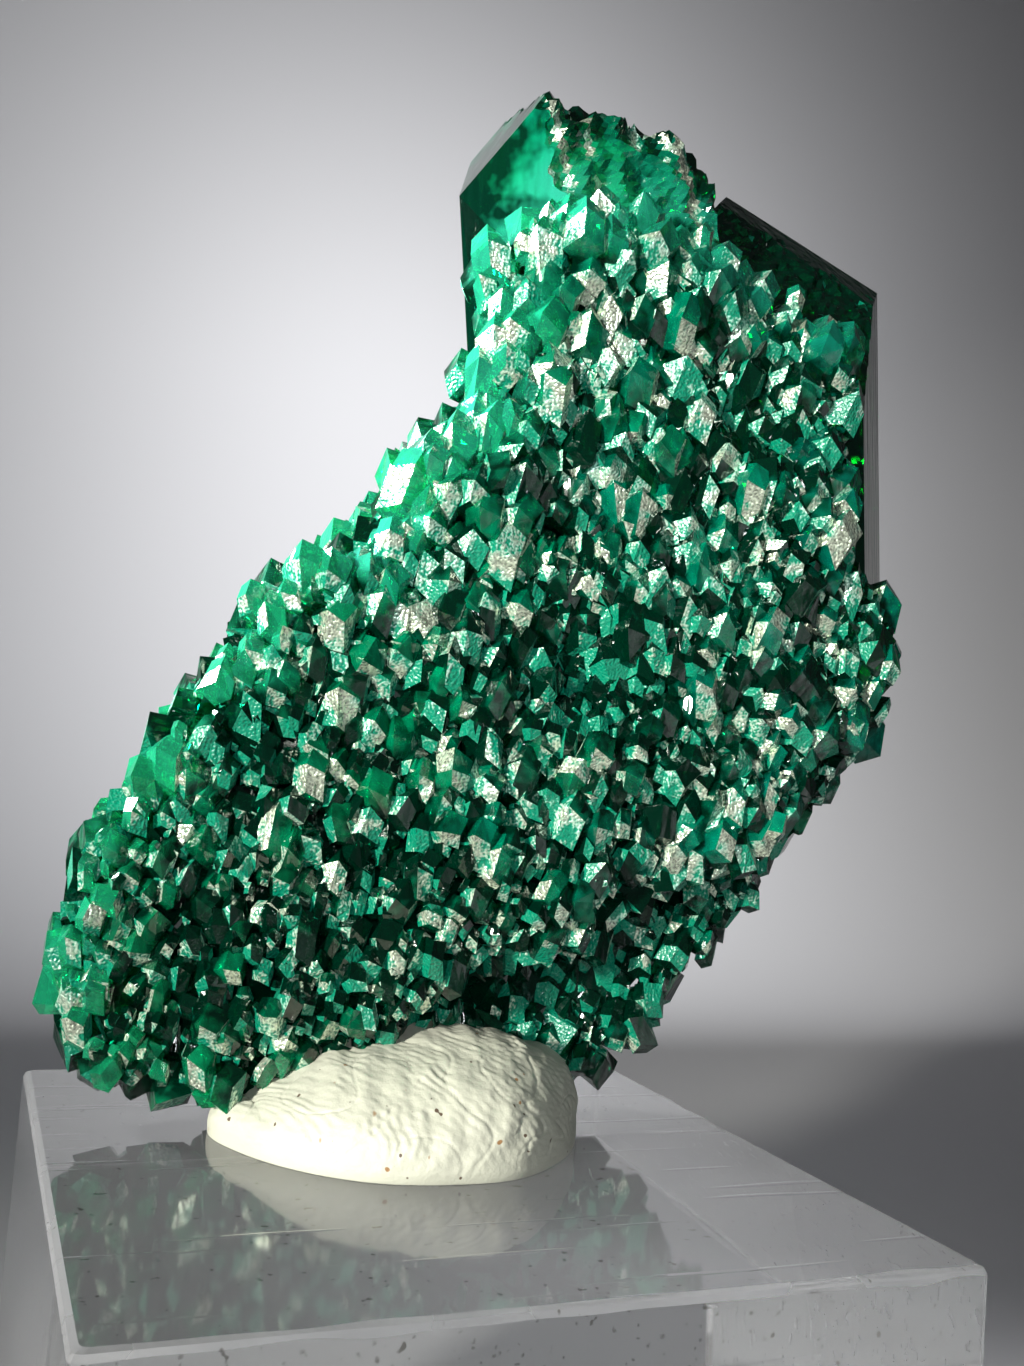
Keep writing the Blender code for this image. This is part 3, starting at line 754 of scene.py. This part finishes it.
def addBigCrystals(materials, collection, cutters):
    for name, values in bigCrystals.items():
        lean = math.radians(values["lean"])
        axis = np.array([[-math.sin(lean), -0.02, math.cos(lean)]])
        points = placeCrystals(
            np.array([values["tip"]]), axis, np.radians([values["spin"]]), np.array([values["radius"]]),
            np.radians([values["slope"]]), np.array([values["length"] / values["radius"]]),
        )
        kinds = np.zeros((1, len(crystalFaces)), np.int32)
        crystalObjects(name, points, materials, kinds, [values["tint"]], collection)
        crystal = collection.objects[-1]
        for cut in values["breaks"]:
            broken = crystal.modifiers.new(cut, "BOOLEAN")
            broken.operation = "DIFFERENCE"
            broken.object = cutters.objects["break_" + cut]
            broken.solver = "MANIFOLD"


def joinPieces(body, collection):
    union = body.modifiers.new("union", "BOOLEAN")
    union.operation = "UNION"
    union.operand_type = "COLLECTION"
    union.collection = collection
    union.solver = "MANIFOLD"
    bpy.context.view_layer.update()
    graph = bpy.context.evaluated_depsgraph_get()
    mesh = bpy.data.meshes.new_from_object(body.evaluated_get(graph))
    keepLargest(mesh)
    return mesh


def addPaintedShadeAndGlow(mesh):
    # painted shade and painted glow values for the materials, at each corner of the mesh in the plate's
    # frame
    corners = np.zeros(3 * len(mesh.vertices))
    mesh.vertices.foreach_get("co", corners)
    corners = corners.reshape(-1, 3) / mm
    flat = corners[:, [0, 2]]
    # painted shade between crystals: how far it lies behind the mean front, from 0 on crystals that stand
    # out to 1 between them, plus the hollows' painted shade, fading out again far behind
    behind = corners[:, 1] - frontDepth(flat)
    pit_shade = smoothStep(behind, *plate["pitShadeFrom"]) + hollows(flat)[1]
    pit_shade *= 1.0 - smoothStep(behind, *plate["pitShadeTo"])
    mesh.attributes.new("pit_shade", "FLOAT", "POINT").data.foreach_set("value", pit_shade)
    # painted glow: how near it is to the thin edge on the lit side, up and to the left, where the glass is
    # made brighter and greener as though light shone through it
    inside = depthInside(flat, plate["crustOutline"])
    lit = smoothStep(0.8 * corners[:, 2] - corners[:, 0], *plate["litFrom"])
    rim = (1.0 - smoothStep(np.abs(inside), 0.5, plate["rimWidth"])) * lit
    mesh.attributes.new("rim", "FLOAT", "POINT").data.foreach_set("value", rim)


def makeSpecimen(materials):
    pieces = hideAway("crystals")
    growCrystals(materials, pieces)
    body = addCores(materials, pieces)
    cutters = hideAway("breaks")
    addBreaks(materials, cutters)
    addBigCrystals(materials, pieces, cutters)
    mesh = joinPieces(body, pieces)
    addPaintedShadeAndGlow(mesh)
    turned = Matrix.Rotation(math.radians(plate["turn"]), 4, "Z")
    mesh.transform(Matrix.Translation((0.0, plate["offset"] * mm, blockTop)) @ turned)
    for helper in [body, *pieces.objects, *cutters.objects]:
        bpy.data.objects.remove(helper, do_unlink=True)
    made = bpy.data.objects.new("dioptase_specimen", mesh)
    bpy.context.scene.collection.objects.link(made)
    return made


specimen = makeSpecimen((makeGlass(glassFinish), makeEtched(etchedFinish)))
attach(specimen, "root")
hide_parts("dioptase_cluster")
print("specimen faces", len(specimen.data.polygons))


# Tack: a dome over a given footprint, with fingerprint ridges pressed into it

tackShape = {
    # where it meets the block, in mm, from the pinched left end round the front and the back
    "footprint": [
        (-8.9, 4.0), (-8.1, 1.0), (-6.2, -1.8), (-3.7, -3.7), (-0.8, -4.4), (2.4, -4.1), (5.4, -1.8),
        (7.4, 1.3), (8.2, 4.8), (7.2, 8.4), (4.2, 11.0), (0.0, 11.7), (-4.2, 10.4), (-7.4, 7.6),
    ],
    # the crest's height above the block along x, both in mm
    "crest": (
        (-8.4, -6.6, -4.5, -2.2, 0.0, 2.2, 4.2, 5.8, 7.4),
        (1.0, 2.5, 3.5, 4.05, 4.45, 4.6, 4.4, 3.8, 2.6),
    ),
    "spineEnds": (-7.4, 5.6), "spineDepth": 3.2,
    "roundness": 0.82, "tuck": 0.22, "around": 560, "rings": 120,
    "arcCentre": (-11.0, 2.4), "arcPitch": 0.44, "arcHeight": 0.02,
    "linePitch": 0.38, "lineHeight": 0.011, "linesFrom": (0.5, 3.5),
    # soft lumps: height and size in mm, and the seed
    "lumps": ((0.10, 6.0, 8), (0.045, 1.7, 9), (0.016, 0.6, 12)),
    "trenchFront": 2.5, "trenchBack": 6.4, "trenchFloor": 1.0,
}


def closedCurve(points, count):
    # Catmull-Rom through the points: each stretch is a cubic whose end slopes come from its neighbours
    knots = np.array(points)
    place = np.linspace(0.0, len(knots), count, endpoint=False)
    k = place.astype(int)
    t = (place - k)[:, None]
    a, b, c, d = (knots[(k + step) % len(knots)] for step in (-1, 0, 1, 2))
    square = (2 * a - 5 * b + 4 * c - d) * t ** 2
    cube = (3 * b - a - 3 * c + d) * t ** 3
    return 0.5 * (2 * b + (c - a) * t + square + cube)


def makeTack(values):
    # rings run from the contact line up to a spine under the crest: across = spine + (edge - spine) * cos,
    # height = crest * sin, both to a power that fills the shoulders out
    edge = closedCurve(values["footprint"], values["around"])
    spineX = np.clip(edge[:, 0], *values["spineEnds"])
    spine = np.stack([spineX, np.full(len(edge), values["spineDepth"])], axis=1)
    turn = np.linspace(-values["tuck"], math.pi / 2, values["rings"])[:, None]
    out = np.abs(np.cos(turn)) ** values["roundness"]
    flat = spine[None] + (edge - spine)[None] * out[..., None]
    crest = np.interp(spine[:, 0], *values["crest"])[None]
    waist = np.minimum(0.5, 0.3 * crest)
    below = waist + waist * np.sin(turn) / math.sin(values["tuck"])
    above = waist + (crest - waist) * np.sin(np.clip(turn, 0.0, None)) ** 0.9
    x, y, z = flat[..., 0], flat[..., 1], np.where(turn < 0.0, below, above)
    # prints: arcs round a point to the left on the left half, level lines at the upper right, in patches
    rise = z + 0.6 * (y + 4.4)
    arcs = np.hypot(x - values["arcCentre"][0], 1.3 * (rise - values["arcCentre"][1]))
    arcs = np.sin(2 * math.pi * (arcs + 0.25 * wobble(x, rise, 3.0, 3)) / values["arcPitch"])
    lines = np.sin(2 * math.pi * (rise + 0.12 * x + 0.2 * wobble(x, rise, 3.5, 4)) / values["linePitch"])
    right = smoothStep(x, *values["linesFrom"])
    patches = smoothStep(wobble(x, rise, 4.0, 5), -0.4, 0.7)
    relief = values["arcHeight"] * arcs * (1.0 - right) * patches
    relief += values["lineHeight"] * lines * right * (0.4 + 0.6 * patches)
    # creases: narrow furrows where a wave crosses zero, only near a point low on the right
    near = np.exp(-((x - 4.6) ** 2 / 5.0 + (rise - 2.0) ** 2 / 2.0))
    relief -= 0.13 * near * np.exp(-(wobble(x, 1.4 * rise, 1.9, 14, 4) / 0.16) ** 2)
    relief -= 0.05 * np.exp(-(wobble(x, rise, 5.0, 15, 4) / 0.05) ** 2)
    for height, size, seed in values["lumps"]:
        relief += height * wobble(x, rise, size, seed)
    relief *= smoothStep(turn, -0.15, 0.25)
    across = (edge - spine)[None] / np.linalg.norm(edge - spine, axis=1)[None, :, None]
    x = x + across[..., 0] * relief * np.cos(turn)
    y = y + across[..., 1] * relief * np.cos(turn)
    z = z + relief * np.abs(np.sin(turn))
    # the specimen's foot stands in a trench
    tilt = math.radians(plate["turn"])
    behind = -x * math.sin(tilt) + (y - plate["offset"]) * math.cos(tilt)
    inTrench = smoothStep(behind, values["trenchFront"], values["trenchFront"] + 0.5)
    inTrench = inTrench * (1.0 - smoothStep(behind, values["trenchBack"] - 0.5, values["trenchBack"]))
    z = np.minimum(z, z * (1.0 - inTrench) + values["trenchFloor"] * inTrench)
    rings, around = x.shape
    points = np.stack([x, y, z], axis=2).reshape(-1, 3) * mm + np.array([0.0, 0.0, blockTop + 0.00001])
    r, a = np.meshgrid(np.arange(rings - 1), np.arange(around), indexing="ij")
    after = (a + 1) % around
    lower, upper = r * around, (r + 1) * around
    faces = np.stack([lower + a, lower + after, upper + after, upper + a], axis=2).reshape(-1, 4).tolist()
    faces.append(list(range(around))[::-1])
    made = addMesh("tack_putty", points, faces)
    made.data.shade_smooth()
    return made


tackFinish = {
    "pale": (0.50, 0.51, 0.41), "dull": (0.42, 0.42, 0.35),
    "speck": (0.09, 0.06, 0.04), "rust": (0.24, 0.13, 0.05),
    "roughness": 0.62,
}


def makePutty(values):
    made, nodes, links, shader = newMaterial("tack_putty")
    where = objectSpace(nodes, links)
    fine = noiseOf(nodes, links, where, 4200.0, 2.0, 0.6)
    colour = mixOf(nodes, links, noiseOf(nodes, links, where, 350.0, 4.0), values["dull"], values["pale"])
    for scale, low, tone in ((2200.0, 0.745, "speck"), (1300.0, 0.755, "rust")):
        spots = noiseOf(nodes, links, where, scale, 1.0)
        spots = rampOf(nodes, links, spots, [(low, 0.0), (low + 0.03, 1.0)])
        colour = mixOf(nodes, links, spots, colour, values[tone])
    links.new(colour, shader.inputs["Base Color"])
    shader.inputs["Roughness"].default_value = values["roughness"]
    links.new(bumpOf(nodes, links, fine, 0.00003), shader.inputs["Normal"])
    return made


tackPiece = makeTack(tackShape)
tackPiece.data.materials.append(makePutty(tackFinish))
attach(tackPiece, "root")
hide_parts("mineral_tack")
print("tack made")


# Block: a square loop carried up through its chamfers, whose width wanders where the edge is chipped

blockShape = {
    "corner": 0.3, "chamfer": 0.3, "wander": 0.35, "perSide": 110,
    # 0 clear, 1 rubbed, 2 underside: the five rows from the bottom up, then the bottom and the top
    "rowMaterials": [2, 2, 0, 1, 1], "lidMaterials": [2, 0],
}


def makeBlock(values):
    half = (blockHigh.x - blockLow.x) / 2 / mm
    height = blockTop / mm
    # a square with small round corners, as a superellipse of high power would be, but with even steps
    share = np.linspace(-1.0, 1.0, values["perSide"], endpoint=False)
    side = np.stack([share, -np.ones_like(share)], axis=1)
    quarters = np.arange(4) * math.pi / 2
    turns = [np.array([[math.cos(q), math.sin(q)], [-math.sin(q), math.cos(q)]]) for q in quarters]
    square = np.concatenate([side @ turn for turn in turns])
    corner = np.maximum(np.abs(square).min(axis=1) - (1.0 - values["corner"] / half), 0.0)
    square = square * (1.0 - 0.3 * corner)[:, None] * half
    along = np.arange(len(square)) / values["perSide"]
    chipped = smoothStep(wobble(along, 0.0, 0.7, 22), -0.3, 0.8)
    chip = 1.0 + values["wander"] * wobble(along, 0.0, 0.13, 21) * chipped
    chamfer = values["chamfer"] * np.clip(chip, 0.5, 1.8)
    none, part = 0.0 * chamfer, 0.3 * chamfer
    rows = [
        (chamfer, none), (part, part), (none, chamfer),
        (none, height - chamfer), (part, height - part), (chamfer, height + none),
    ]
    loops = []
    for inward, z in rows:
        scaled = square * (1.0 - inward / half)[:, None]
        loops.append(np.stack([scaled[:, 0], scaled[:, 1], z], axis=1))
    points = np.concatenate(loops) * mm
    count = len(square)
    faces = []
    scuffed = []
    for row in range(len(rows) - 1):
        for k in range(count):
            after = (k + 1) % count
            lower, upper = row * count, (row + 1) * count
            faces.append((lower + k, lower + after, upper + after, upper + k))
            scuffed.append(values["rowMaterials"][row])
    faces.append(tuple(range(count))[::-1])
    faces.append(tuple((len(rows) - 1) * count + k for k in range(count)))
    scuffed += values["lidMaterials"]
    return addMesh("clear_block", points, faces), scuffed


def makeAcrylic(name, transmission, roughness, scratch):
    # smears vary the shine, thin marks run across and a little dust lies on it
    made, nodes, links, shader = newMaterial(name)
    smears = noiseOf(nodes, links, objectSpace(nodes, links, (1.0, 0.4, 1.0)), 160.0, 0.0)
    dulled = rampOf(nodes, links, smears, [(0.35, roughness), (0.7, 2.5 * roughness)])
    links.new(dulled, shader.inputs["Roughness"])
    slanted = objectSpace(nodes, links, (0.05, 1.0, 1.0), (0.0, 0.3, 0.5))
    lines = rampOf(nodes, links, noiseOf(nodes, links, slanted, 1500.0, 1.0), [(0.66, 0.0), (0.72, 1.0)])
    links.new(bumpOf(nodes, links, lines, scratch, 0.6), shader.inputs["Normal"])
    dust = noiseOf(nodes, links, objectSpace(nodes, links), 2600.0, 1.0)
    dusty = rampOf(nodes, links, dust, [(0.70, (0.93, 0.94, 0.96)), (0.76, (0.25, 0.24, 0.22))])
    links.new(dusty, shader.inputs["Base Color"])
    shader.inputs["IOR"].default_value = 1.49
    shader.inputs["Transmission Weight"].default_value = transmission
    return made


blockPiece, scuffed = makeBlock(blockShape)
clear = makeAcrylic("clear_acrylic", 0.94, 0.03, 0.00002)
rubbed = makeAcrylic("rubbed_acrylic", 0.86, 0.2, 0.00006)
under = makePlain("block_underside", (0.20, 0.20, 0.21), 0.5)
for material in (clear, rubbed, under):
    blockPiece.data.materials.append(material)
blockPiece.data.polygons.foreach_set("material_index", scuffed)
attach(blockPiece, "root")
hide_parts("acrylic_block")
print("block made")


# Stage

stageShape = {"wall": 0.24, "bend": 0.12, "half": 1.2, "front": -0.9, "height": 0.5}


def makeBackdrop(values):
    # a sheet that runs flat to the bend and then up the wall, along a quarter circle
    turn = np.linspace(0.0, math.pi / 2, 20)
    radius = values["bend"]
    curve = values["wall"] - radius + radius * np.sin(turn)
    y = np.concatenate([[values["front"]], curve, [values["wall"]]])
    z = np.concatenate([[0.0], radius - radius * np.cos(turn), [values["height"]]])
    x = np.linspace(-values["half"], values["half"], 3)
    across, row = np.meshgrid(np.arange(3), np.arange(len(y)))
    points = np.stack([x[across], y[row], z[row] - 0.00002], axis=2).reshape(-1, 3)
    corner = (np.arange(len(y) - 1)[:, None] * 3 + np.arange(2)).ravel()
    faces = np.stack([corner, corner + 1, corner + 4, corner + 3], axis=1)
    made = addMesh("backdrop", points, faces)
    made.data.shade_smooth()
    return made


backdrop = makeBackdrop(stageShape)
backdrop.data.materials.append(makePlain("backdrop_paper", (0.62, 0.62, 0.64), 0.9))


# where each light stands and aims, its size, all in metres, its watts, colour and spread in degrees
lights = {
    "key": {
        "place": (-0.17, -0.10, 0.065), "aim": (0.006, 0.0, 0.046), "size": 0.02,
        "energy": 0.06, "colour": (1.0, 0.98, 0.9), "spread": 40.0,
    },
    "near_lens": {
        "place": (-0.055, -0.16, 0.06), "aim": (0.004, 0.002, 0.045), "size": 0.015,
        "energy": 0.009, "colour": (0.92, 0.95, 1.0), "spread": 40.0,
    },
    "wall_wash": {
        "place": (0.065, 0.085, 0.12), "aim": (0.07, 0.24, 0.115), "size": 0.05,
        "energy": 0.24, "colour": (1.0, 1.0, 1.0), "spread": 160.0,
    },
    "edge": {
        "place": (-0.09, 0.07, 0.09), "aim": (0.0, 0.0, 0.05), "size": 0.03,
        "energy": 0.07, "colour": (1.0, 1.0, 1.0), "spread": 34.0,
    },
}


def addLight(name, values):
    data = bpy.data.lights.new(name, "AREA")
    data.size = values["size"]
    data.energy = values["energy"]
    data.color = values["colour"]
    data.spread = math.radians(values["spread"])
    made = bpy.data.objects.new(name, data)
    bpy.context.scene.collection.objects.link(made)
    toAim = Vector(values["aim"]) - Vector(values["place"])
    made.location = values["place"]
    made.rotation_euler = toAim.to_track_quat("-Z", "Y").to_euler()


for name, values in lights.items():
    addLight(name, values)
world = bpy.data.worlds.new("room")
bpy.context.scene.world = world
world.use_nodes = True
world.node_tree.nodes["Background"].inputs["Color"].default_value = (0.8, 0.82, 0.88, 1.0)
world.node_tree.nodes["Background"].inputs["Strength"].default_value = 0.035
